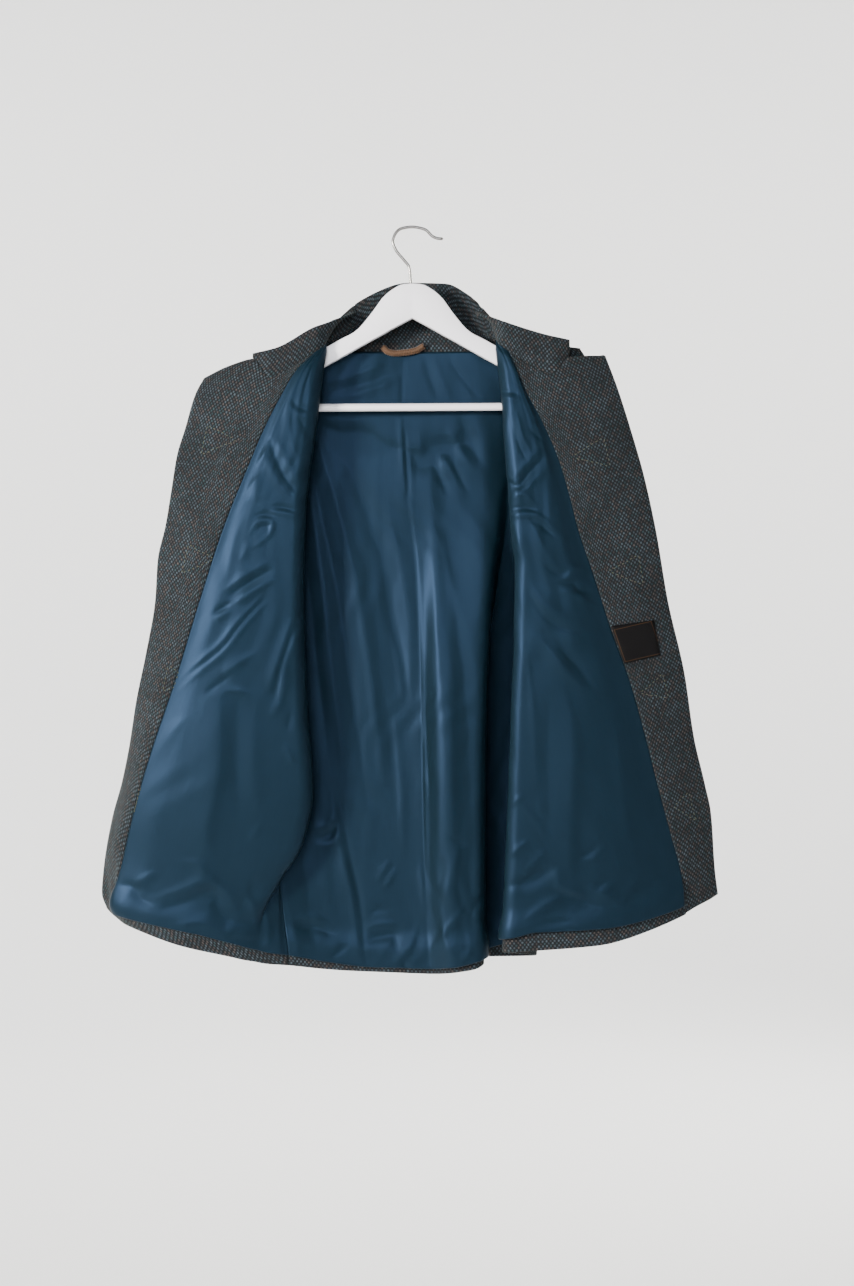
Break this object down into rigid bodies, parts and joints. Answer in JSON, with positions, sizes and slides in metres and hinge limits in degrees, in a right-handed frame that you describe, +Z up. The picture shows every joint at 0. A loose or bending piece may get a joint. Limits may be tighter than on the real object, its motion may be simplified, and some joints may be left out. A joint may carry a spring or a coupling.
{
  "type": "tweed coat on a hanger",
  "caption": "Collared tweed coat with a satin lining, hung wide open on a contoured white wooden hanger, both fronts turned back outwards so that the inside shows.",
  "frame": {"origin": "underside of the hook's wire at its top, where the hanger rests on a peg or rod", "axes": "+Z up, +X to the right as the open inside of the coat is looked at, -Y the side that the inside faces"},
  "size_m": [0.8071, 0.0996, 0.973],
  "materials": {
    "tweed": "slubbed wool hopsack, matt and slightly hairy",
    "satin": "petrol blue lining satin with a soft sheen",
    "braid": "brown braided cord",
    "label_cloth": "black woven damask label, bare",
    "white_lacquer": "white satin lacquer over wood",
    "hook_steel": "nickel-plated wire",
    "leather": "dark brown waxed leather, edges bare",
    "cord": "dark twisted cotton cord",
    "horn": "polished horn or imitation horn"
  },
  "bodies": {
    "root": {"back_left": "tweed", "back_right": "tweed", "front_left": "tweed", "front_right": "tweed", "sleeve_left_upper": "tweed", "sleeve_left_under": "tweed", "sleeve_right_upper": "tweed", "sleeve_right_under": "tweed", "collar": "tweed", "facing_left": "tweed", "facing_right": "tweed", "neck_facing": "tweed", "lining_back": "satin", "lining_front_left": "satin", "lining_front_right": "satin", "hanging_loop": "braid", "label": "label_cloth", "patch_left_1": "leather", "loop_1": "cord", "patch_right_1": "leather", "toggle_cord_1": "cord", "toggle_1": "horn", "patch_left_2": "leather", "loop_2": "cord", "patch_right_2": "leather", "toggle_cord_2": "cord", "toggle_2": "horn", "patch_left_3": "leather", "loop_3": "cord", "patch_right_3": "leather", "toggle_cord_3": "cord", "toggle_3": "horn", "patch_left_4": "leather", "loop_4": "cord", "patch_right_4": "leather", "toggle_cord_4": "cord", "toggle_4": "horn", "hanger_board": "white_lacquer", "hanger_bar": "white_lacquer", "hanger_hook": "hook_steel"}
  },
  "joints": []
}
